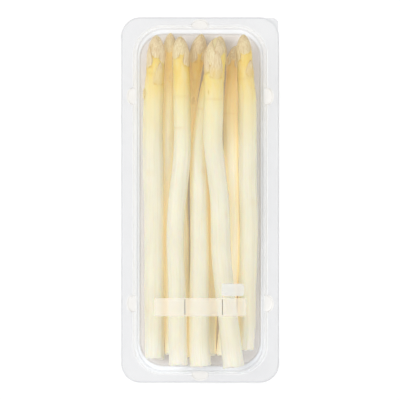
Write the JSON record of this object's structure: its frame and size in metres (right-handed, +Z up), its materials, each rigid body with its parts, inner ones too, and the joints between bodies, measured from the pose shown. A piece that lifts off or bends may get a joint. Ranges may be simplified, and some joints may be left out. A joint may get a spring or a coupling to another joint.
{
  "type": "bundle of asparagus",
  "caption": "Peeled white asparagus spears lying in a clear rounded tray under a sealed clear film with one square peel corner.",
  "frame": {"origin": "middle of the tray's underside, where it stands", "axes": "+Y along the spears towards their tips, +X across the tray, +Z up through the film"},
  "size_m": [0.1046, 0.2416, 0.0316],
  "materials": {
    "asparagus": "moist peeled flesh",
    "clear_plastic": "clear gloss",
    "clear_film": "clear gloss"
  },
  "bodies": {
    "root": {"tray": "clear_plastic", "film": "clear_film", "spear_1": "asparagus", "spear_2": "asparagus", "spear_3": "asparagus", "spear_4": "asparagus", "spear_5": "asparagus", "spear_6": "asparagus", "spear_7": "asparagus", "spear_8": "asparagus", "spear_9": "asparagus"}
  },
  "joints": []
}
